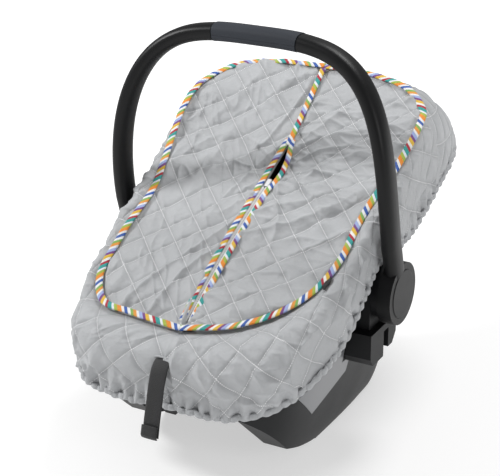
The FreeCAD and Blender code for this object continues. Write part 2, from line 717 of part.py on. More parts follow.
def buckle_tongue(side):
    """Metal tongue and its webbing eye between the buckle and a shoulder strap."""
    x = side * STRAP_X
    low = min(side * 8.0, x + side * 13)
    high = max(side * 8.0, x + side * 13)
    z = BUCKLE_LOW[2] + 8
    return block((low, BUCKLE_HIGH[1] + 0.2, z), (high, BUCKLE_HIGH[1] + 16, z + 2.5))


def crotch_strap():
    z = CAVITY_LEVELS[0][0]
    return band([(-52, z + 1.2), (-44, z + 3), (-36, z + 8), (-30.2, z + 10)], 0.0, WEB[0], WEB[1])


def chest_clip(side):
    """Half of the clip that joins the shoulder straps over the chest."""
    path = back_line(BOLSTER + 8)
    (y0, z0), (y1, z1) = path[2], path[3]
    y, z = y0 + (y1 - y0) * CLIP_SHARE, z0 + (z1 - z0) * CLIP_SHARE
    lean = math.degrees(math.atan2(z0 - z1, y0 - y1))
    low = 0.2 if side > 0 else -STRAP_X - 16
    high = STRAP_X + 16 if side > 0 else -0.2
    half = turned(block((low, y - 17, z - 3), (high, y + 17, z + 3)), (y, z), lean)
    button = turned(block((4, y - 9, z + 0.8), (19, y + 9, z + 5)), (y, z), lean)
    pocket = turned(block((3.7, y - 9.3, z - 1.2), (19.3, y + 9.3, z + 8)), (y, z), lean)
    return (half.cut(pocket) if side > 0 else half), button


def adjuster():
    """Harness adjuster on the seat's front slope, and its push button."""
    y, z = -118.0, 147.0
    lean = -33.0
    frame = block((-19, y - 16, z - 4), (19, y + 16, z + 4))
    pocket = block((-13.3, y - 10.3, z - 2), (13.3, y + 10.3, z + 10))
    button = block((-13, y - 10, z + 2), (13, y + 10, z + 6))
    return turned(frame.cut(pocket), (y, z), lean), turned(button, (y, z), lean)


# ---------------------------------------------------------------- all nodes
def seat_nodes():
    nodes = {
        "shell": shell(),
        "foam_liner": foam_liner(),
        "seat_pad": seat_pad(),
        "infant_insert": bolster(INSERT_Z, -20.0),
        "head_pad": bolster(HEAD_PAD_Z, 60.0),
        "base_bars": base_bars(),
        "release_housing": release_housing(),
        "release_bar": release_bar(),
        "label": label(),
        "buckle": buckle(),
        "buckle_button": button_block(),
        "crotch_strap": crotch_strap(),
        "canopy_bow": canopy_bow(),
        "canopy_cloth": canopy_cloth(),
        "zip_slider": zip_slider(),
        "adjuster_strap": toe_strap(),
    }
    nodes["adjuster_frame"], nodes["adjuster_button"] = adjuster()
    nodes["clip_half_right"], nodes["clip_button"] = chest_clip(1)
    nodes["clip_half_left"] = chest_clip(-1)[0]
    for side, word in ((-1, "left"), (1, "right")):
        nodes["shoulder_strap_" + word] = shoulder_strap(side)
        nodes["buckle_tongue_" + word] = buckle_tongue(side)
    return nodes


def paired_nodes():
    right = {
        "handle_arm": handle_arm(),
        "hub_button": hub_button(),
        "lock_gear": lock_gear(),
        "pivot_pin": rod_x(0, PIVOT_Z, PIN_R, *PIN_X),
        "hub_housing": hub_housing(),
        "adapter_bracket": bracket(),
        "adapter_pawl": pawl_block(),
        "side_cloth": side_cloth(),
    }
    nodes = {}
    for name, shape in right.items():
        nodes[name + "_right"] = shape
        nodes[name + "_left"] = mirrored(shape)
    return nodes


def main():
    nodes = seat_nodes()
    nodes.update(paired_nodes())
    nodes["grip_core"] = grip_core()
    nodes["grip_sleeve_upper"] = grip_sleeve(True)
    nodes["grip_sleeve_lower"] = grip_sleeve(False)
    nodes.update(cover_nodes())
    os.makedirs("parts", exist_ok=True)
    for name, shape in nodes.items():
        whole = shape.Solids[0] if len(shape.Solids) == 1 else Part.makeCompound(shape.Solids)
        whole.exportStep("parts/" + name + ".step")
        print(name, len(shape.Solids), round(whole.Volume / 1000, 2), "cm3", whole.isValid())


main()
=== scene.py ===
# %% [markdown]
# # An infant car seat under a quilted cover
# The CAD frame gives the shell, the handle and every joint. This script models the soft goods round it
# (quilted cover, striped bindings, zip, webbing, pads), gives each piece a procedural material, and lights it.

# %% Load the frame
import json
import math

import bpy
import numpy as np
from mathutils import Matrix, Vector, noise


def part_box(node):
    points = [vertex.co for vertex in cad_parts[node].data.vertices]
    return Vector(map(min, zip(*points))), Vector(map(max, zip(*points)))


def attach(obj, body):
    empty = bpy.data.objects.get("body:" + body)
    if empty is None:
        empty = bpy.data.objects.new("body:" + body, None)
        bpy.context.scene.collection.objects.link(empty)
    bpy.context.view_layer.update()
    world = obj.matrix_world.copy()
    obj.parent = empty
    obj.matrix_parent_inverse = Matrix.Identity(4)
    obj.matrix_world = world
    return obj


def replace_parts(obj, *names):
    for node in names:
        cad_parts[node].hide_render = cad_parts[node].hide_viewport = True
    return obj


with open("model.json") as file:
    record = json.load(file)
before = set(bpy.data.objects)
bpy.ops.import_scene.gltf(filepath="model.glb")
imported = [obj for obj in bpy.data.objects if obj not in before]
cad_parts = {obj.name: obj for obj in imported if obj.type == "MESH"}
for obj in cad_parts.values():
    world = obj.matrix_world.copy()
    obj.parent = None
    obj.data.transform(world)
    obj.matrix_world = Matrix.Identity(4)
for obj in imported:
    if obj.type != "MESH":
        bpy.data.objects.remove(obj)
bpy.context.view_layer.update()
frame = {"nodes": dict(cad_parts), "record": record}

MM = 0.001

# %% [markdown]
# ## Curves and cloth
# A sheet of cloth starts as a few rows of points. Smooth curves are run through them, the sheet gets its quilting
# and creases along its own normals, and it is then given its thickness.

# %% Smooth curves and surfaces
def through(points, count):
    """Evenly spaced points on a smooth curve through a few points."""
    p = np.asarray(points, float)
    chord = np.r_[0, np.cumsum(np.linalg.norm(np.diff(p, axis=0), axis=1) + 1e-9)]
    slope = np.gradient(p, chord, axis=0)
    fine = np.linspace(0, chord[-1], 24 * len(p))
    i = np.clip(np.searchsorted(chord, fine, side="right") - 1, 0, len(p) - 2)
    h = (chord[i + 1] - chord[i])[:, None]
    t = (fine - chord[i])[:, None] / h
    q = (2 * t**3 - 3 * t**2 + 1) * p[i] + (t**3 - 2 * t**2 + t) * h * slope[i]
    q = q + (3 * t**2 - 2 * t**3) * p[i + 1] + (t**3 - t**2) * h * slope[i + 1]
    run = np.r_[0, np.cumsum(np.linalg.norm(np.diff(q, axis=0), axis=1))]
    even = np.linspace(0, run[-1], count)
    return np.stack([np.interp(even, run, q[:, k]) for k in range(3)], 1)


def surface(rows, across, along):
    """A smooth grid of points through a coarse one."""
    wide = np.stack([through(row, across) for row in rows])
    return np.stack([through(wide[:, j], along) for j in range(across)], 1)


def normals(grid):
    n = np.cross(np.gradient(grid, axis=0), np.gradient(grid, axis=1))
    return n / (np.linalg.norm(n, axis=2, keepdims=True) + 1e-12)


def lengths(grid, axis):
    """Distance walked along a grid, from its first line of points."""
    steps = np.linalg.norm(np.diff(grid, axis=axis), axis=2)
    pad = [(0, 0), (0, 0)]
    pad[axis] = (1, 0)
    return np.pad(np.cumsum(steps, axis=axis), pad)


def smooth(x, low, high):
    t = np.clip((x - low) / (high - low), 0, 1)
    return t * t * (3 - 2 * t)


# %% Quilting and creases
CELL = 37.5 * MM


def quilt(u, v, high):
    """Soft diamond pillows between two sets of stitch lines."""
    a = np.abs(np.sin(math.pi * (u + v) / (CELL * math.sqrt(2))))
    b = np.abs(np.sin(math.pi * (u - v) / (CELL * math.sqrt(2))))
    return high * (1 - np.exp(-3.2 * np.minimum(a, b))) * (0.75 + 0.25 * a * b)


def noise_of(a, b, seed):
    flat = [noise.noise(Vector((x, y, seed))) for x, y in zip(a.ravel(), b.ravel())]
    return np.array(flat).reshape(a.shape)


def creases(u, v, degrees, long, short, seed):
    """Ridged folds that run in one direction."""
    turn = math.radians(degrees)
    along = (u * math.cos(turn) + v * math.sin(turn)) / long
    across = (v * math.cos(turn) - u * math.sin(turn)) / short
    across = across + 0.5 * noise_of(along, across * 0.5, seed + 7.3)
    return (1 - 2 * np.abs(noise_of(along, across, seed))) ** 3 - 0.35


# %% Meshes
def grid_mesh(name, points, uv):
    rows, cols = points.shape[:2]
    bpy.ops.object.select_all(action="DESELECT")
    bpy.ops.mesh.primitive_grid_add(x_subdivisions=cols - 1, y_subdivisions=rows - 1, size=1)
    obj = bpy.context.object
    obj.name = obj.data.name = name
    mesh = obj.data
    assert len(mesh.vertices) == rows * cols, (len(mesh.vertices), rows, cols)
    mesh.vertices.foreach_set("co", np.asarray(points, np.float32).ravel())
    corner = np.empty(len(mesh.loops), np.int32)
    mesh.loops.foreach_get("vertex_index", corner)
    mesh.uv_layers[0].data.foreach_set("uv", np.asarray(uv, np.float32).reshape(-1, 2)[corner].ravel())
    mesh.update()
    bpy.ops.object.shade_smooth()
    return obj


def modify(obj, kind, **settings):
    bpy.ops.object.select_all(action="DESELECT")
    obj.select_set(True)
    bpy.context.view_layer.objects.active = obj
    modifier = obj.modifiers.new(kind.title(), kind)
    for key, value in settings.items():
        setattr(modifier, key, value)
    bpy.ops.object.modifier_apply(modifier=modifier.name)
    return obj


def outward(points, centre=(0, 0.02, 0.2)):
    """The grid's normals, turned away from the seat's middle."""
    n = normals(points)
    if np.sum(n * (points - np.array(centre))) < 0:
        n = -n
    return n


def swept(name, path, across, up, wide, high, around=12, lump=0.0):
    """A soft flat band: a path, its sideways and upward directions, and its oval section."""
    turn = np.linspace(0, 2 * math.pi, around + 1)
    x = np.sign(np.cos(turn)) * np.abs(np.cos(turn)) ** 0.7 * wide / 2
    z = np.sign(np.sin(turn)) * np.abs(np.sin(turn)) ** 0.8 * high / 2
    step = np.r_[0, np.cumsum(np.linalg.norm(np.diff(path, axis=0), axis=1))]
    swell = 1 + lump * np.array([noise.noise(Vector((s * 90, 3.1, 0))) for s in step])
    points = path[:, None] + across[:, None] * x[None, :, None] + up[:, None] * (z[None, :] * swell[:, None])[..., None]
    uv = np.stack(np.broadcast_arrays(step[:, None], x[None, :]), 2)
    obj = grid_mesh(name, points, uv)
    bpy.ops.object.mode_set(mode="EDIT")
    bpy.ops.mesh.select_all(action="SELECT")
    bpy.ops.mesh.remove_doubles(threshold=0.00001)
    bpy.ops.mesh.select_all(action="DESELECT")
    bpy.ops.mesh.select_non_manifold()
    bpy.ops.mesh.edge_face_add()
    bpy.ops.mesh.select_all(action="SELECT")
    bpy.ops.mesh.normals_make_consistent(inside=False)
    bpy.ops.object.mode_set(mode="OBJECT")
    return obj


def unit(a):
    return a / (np.linalg.norm(a, axis=-1, keepdims=True) + 1e-12)


# %% [markdown]
# ## The cover's lines
# Each station from the toe to the hood gives a point on the top panel's edge, one where the skirt is widest and one
# on its hem. The cloth was pulled on by hand, so the left side hangs a little lower than the right.

# %% Cover stations, in millimetres
RIGHT = [
    ((0.0, -218, 210), (0.0, -262, 182), (0.0, -254, 116)),
    ((74, -196, 222), (92, -259, 180), (92, -249, 120)),
    ((120, -164, 240), (150, -240, 182), (146, -232, 140)),
    ((148, -126, 262), (180, -196, 196), (178, -190, 168)),
    ((160, -84, 286), (192, -118, 232), (190, -120, 200)),
    ((160, -20, 321), (192, -54, 280), (191, -58, 246)),
    ((165, 12, 344), (191, -16, 304), (190, -26, 268)),
    ((174, 50, 368), (191, 32, 318), (190, 24, 271)),
    ((181, 92, 398), (191, 85, 342), (190, 84, 274)),
    ((182, 125, 418), (191, 135, 368), (190, 140, 292)),
    ((178, 148, 428), (190, 168, 385), (189, 192, 314)),
]
LEFT_EDGE = [(0, -218, 210), (-78, -212, 213), (-128, -202, 214), (-157, -170, 228), (-163, -108, 272)]
LEFT_HEM = [(0, -254, 116), (-92, -251, 113), (-150, -232, 115), (-180, -190, 138), (-191, -120, 178)]
HOOD = [
    ((0, 200, 462), (0, 248, 448), (0, 298, 422), (0, 338, 390), (0, 350, 358)),
    ((60, 199, 461), (62, 247, 446), (64, 296, 419), (64, 335, 388), (64, 347, 358)),
    ((110, 194, 456), (115, 242, 439), (118, 288, 411), (120, 322, 383), (118, 334, 356)),
    ((142, 184, 449), (152, 228, 427), (158, 268, 401), (160, 298, 374), (158, 308, 351)),
    ((165, 167, 438), (177, 204, 411), (181, 236, 385), (183, 262, 360), (180, 272, 343)),
    ((175, 155, 431), (187, 181, 401), (190, 204, 371), (190, 224, 347), (188, 232, 331)),
    ((178, 148, 428), (190, 166, 394), (191, 179, 362), (191, 188, 335), (189, 192, 314)),
]
MIDDLE = [(-214, 212), (-205, 217), (-190, 227), (-160, 246), (-95, 283), (-22, 319), (10, 334), (45, 350),
          (97, 384), (150, 423), (200, 462)]
OPEN_Y = (12.0, 82.0)
OPEN_HALF = 6.5
CLOTH = 3.5 * MM


def stations(side):
    rows = []
    for i, (edge, bulge, hem) in enumerate(RIGHT):
        e, b, h = (np.array([side * p[0], p[1], p[2]]) for p in (edge, bulge, hem))
        if side < 0 and i < len(LEFT_EDGE):
            e, h = np.array(LEFT_EDGE[i], float), np.array(LEFT_HEM[i], float)
        rows.append((e * MM, b * MM, h * MM))
    return rows


SIDES = {"right": 1, "left": -1}
STATIONS = {word: stations(side) for word, side in SIDES.items()}
MID_LINE = through([(0, y * MM, z * MM) for y, z in MIDDLE], 400)
MID_RUN = np.r_[0, np.cumsum(np.linalg.norm(np.diff(MID_LINE, axis=0), axis=1))]
print("the zip's line is", round(MID_RUN[-1], 3), "m long")

# %% [markdown]
# ## Skirts, flaps and hood

# %% Skirts
def skirt(word):
    side = SIDES[word]
    rows = []
    for e, b, h in STATIONS[word]:
        shoulder = e + (b - e) * np.array([0.66, 0.66, 0.22])
        rows.append([e, shoulder, b, b + (h - b) * 0.5, h])
    rows[-1] = [np.array([side * x, y, z]) * MM for x, y, z in HOOD[-1]]
    fine = 2
    points = surface(rows, 48 * fine, 170 * fine)
    u, v = lengths(points, 0), lengths(points, 1)
    u = np.broadcast_to(u[:, u.shape[1] // 2][:, None], u.shape)
    out = outward(points)
    down = np.linspace(0, 1, points.shape[1])[None, :]
    toe = 1 - smooth(u, 0.10, 0.42)
    puff = quilt(u, v, 2.6 * MM)
    gather = np.sin(u * 2 * math.pi / 0.021 + 2.6 * noise_of(u * 14, v * 3, 2.0))
    gather = gather * smooth(down, 0.62, 1.0) * 3.6 * MM
    fold = creases(u, v, 78, 0.16, 0.045, 5.0 + side) * 7.0 * MM * smooth(down, 0.05, 0.5)
    fold = fold + creases(u, v, 40, 0.06, 0.016, 9.0 + side) * 2.2 * MM
    slack = noise_of(u * 9, v * 9, 11.0 + side) * 9 * MM * np.sin(math.pi * down)
    belly = 6 * MM * toe * np.sin(math.pi * down) ** 2
    end = 1 - smooth(u, u.max() - 0.07, u.max() - 0.005)
    lift = (puff + np.maximum(fold + slack, -3 * MM) * end + belly) * smooth(down, 0, 0.22) + gather
    lift = lift * (1 - smooth(u, u.max() - 0.02, u.max() - 0.002)) + 1 * MM * smooth(u, u.max() - 0.02, u.max())
    points = points + out * lift[..., None]
    points[0, :, 0] = 0.0
    reach = 0.1935 - 0.026 * smooth(-points[..., 1], 0.11, 0.24)
    points[..., 0] = np.clip(points[..., 0], -reach, reach)
    obj = grid_mesh("cover_skirt_soft_" + word, points, np.stack([u, v], 2))
    modify(obj, "SOLIDIFY", thickness=CLOTH, offset=1.0 if thick_side(obj, points) else -1.0)
    return obj, points


def thick_side(obj, points):
    """True when the mesh's own normals face inwards, so that thickness has to be added along them."""
    mesh = obj.data
    centres = np.empty(len(mesh.polygons) * 3, np.float32)
    facing = np.empty(len(mesh.polygons) * 3, np.float32)
    mesh.polygons.foreach_get("center", centres)
    mesh.polygons.foreach_get("normal", facing)
    away = centres.reshape(-1, 3) - np.array([0, 0.02, 0.2])
    return float(np.sum(away * facing.reshape(-1, 3))) < 0


PIECES = {}
SEAM = {}
SKIRTS = {}
for word in SIDES:
    PIECES["skirt_" + word], grid = skirt(word)
    SKIRTS[word] = grid
    SEAM[word] = grid[:, 0].copy()
    SEAM["out_" + word] = grid[:, 3] - grid[:, 0]
print("skirts:", [len(PIECES["skirt_" + w].data.polygons) for w in SIDES], "faces")


# %% Flaps
def gap(y):
    """Half width of the zip's open stretch."""
    reach = (OPEN_Y[1] - OPEN_Y[0]) / 2
    inside = 1 - ((y / MM - sum(OPEN_Y) / 2) / reach) ** 2
    return OPEN_HALF * MM * np.sqrt(np.clip(inside, 0, 1))


def flap(word):
    side = SIDES[word]
    edges = [STATIONS[word][0][0] + np.array([side * 0.020, 0.002, 0.001])]
    edges += [s[0] for s in STATIONS[word][1:]]
    rows = []
    for i, ((y, z), edge) in enumerate(zip(MIDDLE, edges)):
        middle = np.array([0, y * MM, z * MM])
        power = 3 + 1.5 * max(0, i - 7) / 3
        row = []
        for share in (0, 0.2, 0.4, 0.6, 0.8, 0.92, 1.0):
            bend = share**power
            row.append(middle + (edge - middle) * np.array([share, bend, bend]))
        rows.append(row)
    fine = 2
    points = surface(rows, 60 * fine, 150 * fine)
    u = np.interp(points[..., 1], MID_LINE[:, 1], MID_RUN)
    v = np.abs(points[..., 0])
    out = outward(points)
    share = np.linspace(0, 1, points.shape[1])[None, :]
    ease = smooth(share, 0, 0.06) * (1 - smooth(share, 0.94, 1.0))
    puff = quilt(u, v, 2.3 * MM)
    centre = 0.30
    r = np.hypot(u - centre, v)
    theta = np.arctan2(u - centre, v + 0.01)
    near = np.exp(-r / 0.13) if side > 0 else 0.55 * np.exp(-r / 0.08)
    rays = (1 - np.abs(np.sin(theta * 6 + 2.2 * noise_of(theta * 2, r * 10, 4.0 + side)))) ** 2 - 0.3
    rays = rays * near * 11 * MM * smooth(r, 0.01, 0.05)
    fold = creases(u, v, 62 if side > 0 else -25, 0.20, 0.05, 21.0 + side) * 6.5 * MM
    fine_fold = creases(u, v, 100 if side > 0 else 30, 0.07, 0.018, 25.0 + side) * 2.6 * MM
    dip = -5 * MM * np.exp(-((v - 0.09) / 0.05) ** 2) * np.exp(-((u - 0.13) / 0.08) ** 2)
    slack = noise_of(u * 7, v * 7, 31.0 + side) * 10 * MM
    wave = rays + fold + fine_fold + slack + dip
    floor_at = -9 * MM + 7.5 * MM * smooth(u, 0.30, 0.40)
    lift = (puff + np.maximum(wave, floor_at)) * ease
    points = points + out * lift[..., None]
    opening = gap(points[..., 1]) * (1 - smooth(share, 0, 0.5))
    points[..., 0] += side * (opening + 0.3 * MM * (1 - share))
    points[..., 2] -= 3 * MM * (opening / (OPEN_HALF * MM))
    obj = grid_mesh("flap_soft_" + word, points, np.stack([u, v], 2))
    modify(obj, "SOLIDIFY", thickness=CLOTH, offset=1.0 if thick_side(obj, points) else -1.0)
    return obj, points


FLAPS = {}
for word in SIDES:
    PIECES["flap_" + word], FLAPS[word] = flap(word)
    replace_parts(PIECES["flap_" + word], "flap_" + word)
    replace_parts(PIECES["skirt_" + word], "cover_skirt_" + word)


# %% Hood
def hood():
    half = [[np.array(p) * MM for p in column] for column in HOOD]
    flip = np.array([-1, 1, 1])
    columns = [[p * flip for p in column] for column in half[:0:-1]] + half
    fine = 2
    points = surface(columns, 50 * fine, 130 * fine)
    u, v = lengths(points, 0), lengths(points, 1)
    u = np.broadcast_to(u[:, 8][:, None], u.shape)
    out = outward(points)
    back = np.linspace(0, 1, points.shape[1])[None, :]
    gather = np.sin(u * 2 * math.pi / 0.022 + 2 * noise_of(u * 12, v * 3, 8.0)) * smooth(back, 0.75, 1) * 2.5 * MM
    fold = creases(u, v, 70, 0.15, 0.05, 41.0) * 3 * MM + noise_of(u * 8, v * 8, 43.0) * 6 * MM
    end = smooth(u, 0.004, 0.06) * (1 - smooth(u, u.max() - 0.06, u.max() - 0.004))
    lift = (quilt(u, v, 2.4 * MM) + np.maximum(fold, -2 * MM) * end) * smooth(back, 0, 0.1) + gather * end
    lift = lift * smooth(np.minimum(u, u.max() - u), 0.001, 0.015)
    points = points + out * lift[..., None]
    obj = grid_mesh("cover_hood_soft", points, np.stack([u, v], 2))
    modify(obj, "SOLIDIFY", thickness=CLOTH, offset=1.0 if thick_side(obj, points) else -1.0)
    return obj, points


PIECES["hood"], HOOD_GRID = hood()
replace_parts(PIECES["hood"], "cover_hood")
print("hood:", len(PIECES["hood"].data.polygons), "faces")

# %% [markdown]
# ## Bindings, hem and zip

# %% Striped bindings
BAND = 10.5 * MM


def band_along(name, path, across, up, wide=BAND, high=3.4 * MM, lump=0.12):
    along = unit(np.gradient(path, axis=0))
    across = unit(across - along * np.sum(across * along, axis=1, keepdims=True))
    normal = unit(np.cross(along, across))
    normal *= np.where(np.sum(normal * up, axis=1, keepdims=True) < 0, -1, 1)
    return swept(name, path + normal * 1.0 * MM, across, normal, wide, high, 14, lump)


def loop_binding(word):
    """The binding over the panel's edge, from the toe's middle to the ridge's middle."""
    side = SIDES[word]
    ridge = np.array([[side * p[0][0], p[0][1], p[0][2]] for p in HOOD]) * MM
    line = np.concatenate([SEAM[word][::6], through(ridge[::-1], 40)[1:]])
    path = through(line, 420)
    away = path - np.array([0, 0.05, 0.0])
    up = unit(away * np.array([0.6, 0.5, 1.0]))
    inside = np.array([0, -0.02, 0.33]) - path
    across = -inside * np.array([1, 0.6, 0.3])
    wobble = np.array([noise.noise(Vector((i * 0.09, side * 2.0, 0))) for i in range(len(path))])
    rise = 2.6 + 4.5 * smooth(-path[:, 1], 0.10, 0.20)
    path = path + up * ((rise + wobble * 1.2) * MM)[:, None]
    return band_along("panel_binding_soft_" + word, path, across, up)


def zip_strip(name, stations_y, side, wide, lift, high, lump=0.1):
    y = np.linspace(stations_y[0][0], stations_y[-1][0], 260) * MM
    x = np.interp(y, [s[0] * MM for s in stations_y], [s[1] * MM for s in stations_y]) + wide / 2
    z = np.interp(y, MID_LINE[:, 1], MID_LINE[:, 2]) - 3 * MM * gap(y) / (OPEN_HALF * MM)
    path = np.stack([side * x, y, z], 1)
    along = unit(np.gradient(path, axis=0))
    across = np.tile([side, 0.0, 0.0], (len(path), 1))
    up = np.cross(along, across)
    up *= np.sign(up[:, 2:3])
    return band_along(name, path + up * lift, across, up, wide, high, lump)


ZIP_BINDING = [(-206, 3.0), (-150, 3.4), (-60, 3.4), (0, 3.4), (22, 5.4), (46, 6.6), (66, 5.0), (84, 1.4), (92, -1)]
for word, side in SIDES.items():
    PIECES["loop_" + word] = loop_binding(word)
    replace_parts(PIECES["loop_" + word], "panel_binding_" + word)
    PIECES["zip_binding_" + word] = zip_strip(
        "zip_binding_soft_" + word, ZIP_BINDING, side, 8.5 * MM, 2.2 * MM, 3.2 * MM)
    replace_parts(PIECES["zip_binding_" + word], "zip_binding_" + word)
PIECES["seam_binding"] = zip_strip(
    "flap_seam_binding_soft", [(84, -4.5), (197, -4.5)], 1, 9 * MM, 2.6 * MM, 3.2 * MM)
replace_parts(PIECES["seam_binding"], "flap_seam_binding")


# %% Zip: tapes and a coil of small teeth on each
def zip_tape(word):
    side = SIDES[word]
    tape = zip_strip("zip_tape_soft_" + word, [(-204, 0.9), (12, 0.9)], side, 3.6 * MM, 0.6 * MM, 0.8 * MM, 0)
    y = np.arange(-200, 10, 2.6)
    teeth = []
    for k, place in enumerate(y):
        z = np.interp(place * MM, MID_LINE[:, 1], MID_LINE[:, 2])
        bpy.ops.object.select_all(action="DESELECT")
        at = (side * 0.7 * MM, (place + (0.65 if side > 0 else 0)) * MM, z + 1.9 * MM)
        bpy.ops.mesh.primitive_uv_sphere_add(segments=8, ring_count=5, radius=1.0 * MM, location=at)
        tooth = bpy.context.object
        tooth.scale = (1.7, 0.8, 0.8)
        teeth.append(tooth)
    bpy.ops.object.select_all(action="DESELECT")
    for tooth in teeth:
        tooth.select_set(True)
    bpy.context.view_layer.objects.active = teeth[0]
    bpy.ops.object.transform_apply(location=True, rotation=True, scale=True)
    bpy.ops.object.join()
    coil = bpy.context.object
    coil.name = "zip_teeth_" + word
    bpy.ops.object.transform_apply(location=True, rotation=True, scale=True)
    bpy.ops.object.shade_smooth()
    return tape, coil


for word in SIDES:
    PIECES["tape_" + word], PIECES["teeth_" + word] = zip_tape(word)
    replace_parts(PIECES["tape_" + word], "zip_tape_" + word)


# %% Gathered hem
def hem(word):
    side = SIDES[word]
    line = [s[2] for s in STATIONS[word]]
    line += [np.array([side * c[-1][0], c[-1][1], c[-1][2]]) * MM for c in HOOD[-2::-1]]
    path = through(line, 520)
    run = np.r_[0, np.cumsum(np.linalg.norm(np.diff(path, axis=0), axis=1))]
    away = unit((path - np.array([0, 0.03, 0])) * np.array([1, 1, 0]))
    ruffle = np.sin(run * 2 * math.pi / 0.0135 + 3 * np.array([noise.noise(Vector((s * 16, 5, side))) for s in run]))
    path = path + away * (ruffle * 1.6 * MM)[:, None]
    path[:, 2] += 1.0 * MM * np.sin(run * 2 * math.pi / 0.031)
    up = away
    across = np.tile([0.0, 0.0, -1.0], (len(path), 1))
    return band_along("hem_casing_soft_" + word, path, across, up, 9 * MM, 5 * MM, 0.5)


for word in SIDES:
    PIECES["hem_" + word] = hem(word)
    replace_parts(PIECES["hem_" + word], "hem_casing_" + word)
print(len(PIECES), "soft pieces so far")

# %% [markdown]
# ## Strap, label and pads

# %% Toe strap: webbing through a stitched slit, folded over at its end
STRAP = [(-250, 184), (-257, 187), (-266, 188), (-274, 183), (-283, 167), (-291, 142), (-298, 117), (-302, 96)]


def toe_strap():
    path = through([(0, y * MM, z * MM) for y, z in STRAP], 160)
    path[:, 0] += 1.5 * MM * np.sin(np.linspace(0, 2.5, 160))
    across = np.tile([1.0, 0.04, 0.0], (160, 1))
    up = np.tile([0.0, -1.0, 0.4], (160, 1))
    strap = band_along("toe_strap_soft", path, across, up, 24 * MM, 1.7 * MM, 0)
    fold = through([(0, -303.4, 94.5), (0, -304.6, 96.5), (0, -303.4, 104), (0, -301.6, 111)], 60) * MM
    turned = band_along("toe_strap_fold", fold, np.tile([1.0, 0, 0], (60, 1)), np.tile([0.0, -1, 0.2], (60, 1)),
                        24.4 * MM, 2.0 * MM, 0)
    return strap, turned


PIECES["strap"], PIECES["strap_fold"] = toe_strap()
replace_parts(PIECES["strap"], "adjuster_strap")


def slit_frame():
    """A stitched welt round the slit that the strap comes out of."""
    turn = np.linspace(0, 2 * math.pi, 90)
    x = 15.0 * np.sign(np.cos(turn)) * np.abs(np.cos(turn)) ** 0.5
    z = 187.5 + 4.6 * np.sign(np.sin(turn)) * np.abs(np.sin(turn)) ** 0.5
    y = -264.5 + 0.16 * np.abs(z - 184)
    path = np.stack([x, y, z], 1) * MM
    return swept("slit_welt", path, np.tile([0, 0.1, 1.0], (90, 1)), np.tile([0, -1.0, 0.1], (90, 1)),
                 2.6 * MM, 2.2 * MM, 8)


PIECES["slit"] = slit_frame()


# %% Side tag, bare
def side_tag():
    """A small tag that lies on the skirt, caught under the binding."""
    grid = SKIRTS["right"]
    row = int(np.argmin(np.abs(grid[:, 0, 1] + 0.106)))
    step = np.linalg.norm(grid[row + 1, 4] - grid[row, 4]), np.linalg.norm(grid[row, 5] - grid[row, 4])
    wide, deep = int(0.021 / step[0]), int(0.019 / step[1])
    patch = grid[row - wide // 2:row + wide // 2 + 1, 1:deep + 1]
    points = patch + outward(patch) * 3.4 * MM
    uv = np.stack([lengths(points, 0), lengths(points, 1)], 2)
    tag = grid_mesh("side_tag_soft", points, uv)
    return modify(tag, "SOLIDIFY", thickness=0.9 * MM, offset=0)


PIECES["tag"] = side_tag()
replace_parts(PIECES["tag"], "side_tag")


# %% Pads: crowned cushions inside the shell
def cushion(name, node, puff):
    """A padded copy of a lining: a horseshoe swept round the seat's back between two heights."""
    low, high = (np.array(p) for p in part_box(node))
    turn = np.linspace(0, math.pi, 90)
    half, reach = (high[0] - low[0]) / 2, high[1] - low[1]
    path = np.stack([half * np.cos(turn) * 0.90, low[1] + reach * 0.90 * np.sin(turn) ** 0.8,
                     np.full(90, (low[2] + high[2]) / 2)], 1)
    across = np.tile([0.0, 0.0, 1.0], (90, 1))
    up = unit(path - np.array([0, low[1], path[0, 2]]))
    return swept(name, path, across, up, (high[2] - low[2]) * 0.98, puff, 18, 0.15)


for name, node in (("infant_insert_soft", "infant_insert"), ("head_pad_soft", "head_pad")):
    PIECES[name] = cushion(name, node, 15 * MM)
    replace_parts(PIECES[name], node)

# %% [markdown]
# ## Materials
# Shader sums are written as ordinary sums: `Val` turns each operator into a node.

# %% Shader arithmetic
class Val:
    def __init__(self, tree, socket):
        self.tree, self.socket = tree, socket

    def math(self, kind, *others):
        node = self.tree.nodes.new("ShaderNodeMath")
        node.operation = kind
        for slot, value in zip(node.inputs, (self,) + others):
            if isinstance(value, Val):
                self.tree.links.new(value.socket, slot)
            else:
                slot.default_value = value
        return Val(self.tree, node.outputs[0])

    def __add__(self, other): return self.math("ADD", other)
    def __radd__(self, other): return self.math("ADD", other)
    def __sub__(self, other): return self.math("SUBTRACT", other)
    def __mul__(self, other): return self.math("MULTIPLY", other)
    def __rmul__(self, other): return self.math("MULTIPLY", other)
    def __truediv__(self, other): return self.math("DIVIDE", other)
    def fract(self): return self.math("FRACT")
    def abs(self): return self.math("ABSOLUTE")
    def sine(self): return self.math("SINE")
    def below(self, other): return self.math("LESS_THAN", other)
    def power(self, other): return self.math("POWER", other)
    def most(self, other): return self.math("MAXIMUM", other)
    def least(self, other): return self.math("MINIMUM", other)


